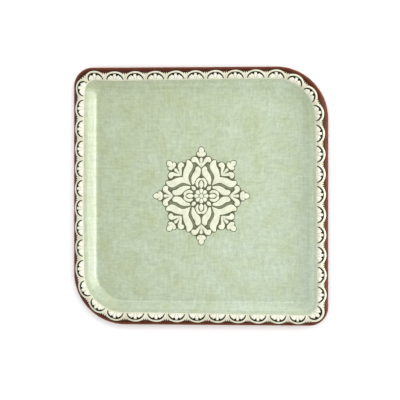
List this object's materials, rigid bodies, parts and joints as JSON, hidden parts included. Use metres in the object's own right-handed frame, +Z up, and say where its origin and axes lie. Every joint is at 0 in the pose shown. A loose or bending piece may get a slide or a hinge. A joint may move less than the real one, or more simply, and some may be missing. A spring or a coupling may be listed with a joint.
{
  "type": "painted tray",
  "caption": "Square shallow tray of pressed sheet steel with a wired rolled rim, green painted field, cream lace border and a raised eight-armed medallion.",
  "frame": {"origin": "middle of the flat base, on the surface the tray lies on", "axes": "+Z up out of the field, +X towards the right side and +Y towards the top side as the tray is looked at from above; the broad corners are at +X+Y and -X-Y"},
  "size_m": [0.3, 0.3, 0.0152],
  "materials": {
    "painted_back": "terracotta lacquer on pressed steel",
    "wire_steel": "drawn steel wire",
    "field_green": "pale green enamel printed like linen, clear gloss varnish",
    "rim_terracotta": "mottled terracotta enamel, gloss varnish",
    "lace_cream": "cream lace transfer with dark olive lines under varnish",
    "ground_olive": "dark olive outline paint",
    "stroke_cream": "raised cream brush strokes under varnish",
    "shadow_olive": "olive grey shading strokes"
  },
  "bodies": {
    "root": {"bud_drop_e": "stroke_cream", "bud_drop_n": "stroke_cream", "bud_drop_s": "stroke_cream", "bud_drop_w": "stroke_cream", "bud_hood_e": "stroke_cream", "bud_hood_n": "stroke_cream", "bud_hood_s": "stroke_cream", "bud_hood_w": "stroke_cream", "edge_wire": "wire_steel", "field_enamel": "field_green", "fleur_e": "stroke_cream", "fleur_n": "stroke_cream", "fleur_ne": "stroke_cream", "fleur_nw": "stroke_cream", "fleur_s": "stroke_cream", "fleur_se": "stroke_cream", "fleur_sw": "stroke_cream", "fleur_w": "stroke_cream", "lace_border_bottom": "lace_cream", "lace_border_left": "lace_cream", "lace_border_right": "lace_cream", "lace_border_top": "lace_cream", "leaf_e_left": "stroke_cream", "leaf_e_right": "stroke_cream", "leaf_n_left": "stroke_cream", "leaf_n_right": "stroke_cream", "leaf_pair_ne": "stroke_cream", "leaf_pair_nw": "stroke_cream", "leaf_pair_se": "stroke_cream", "leaf_pair_sw": "stroke_cream", "leaf_s_left": "stroke_cream", "leaf_s_right": "stroke_cream", "leaf_w_left": "stroke_cream", "leaf_w_right": "stroke_cream", "lozenge_ne": "stroke_cream", "lozenge_nw": "stroke_cream", "lozenge_se": "stroke_cream", "lozenge_sw": "stroke_cream", "medallion_ground": "ground_olive", "rim_enamel": "rim_terracotta", "rosette": "stroke_cream", "rosette_eye": "stroke_cream", "shadow_e_left": "shadow_olive", "shadow_e_right": "shadow_olive", "shadow_n_left": "shadow_olive", "shadow_n_right": "shadow_olive", "shadow_s_left": "shadow_olive", "shadow_s_right": "shadow_olive", "shadow_w_left": "shadow_olive", "shadow_w_right": "shadow_olive", "tray_pan": "painted_back", "trefoil_e": "stroke_cream", "trefoil_n": "stroke_cream", "trefoil_ne": "stroke_cream", "trefoil_nw": "stroke_cream", "trefoil_s": "stroke_cream", "trefoil_se": "stroke_cream", "trefoil_sw": "stroke_cream", "trefoil_w": "stroke_cream"}
  },
  "joints": []
}
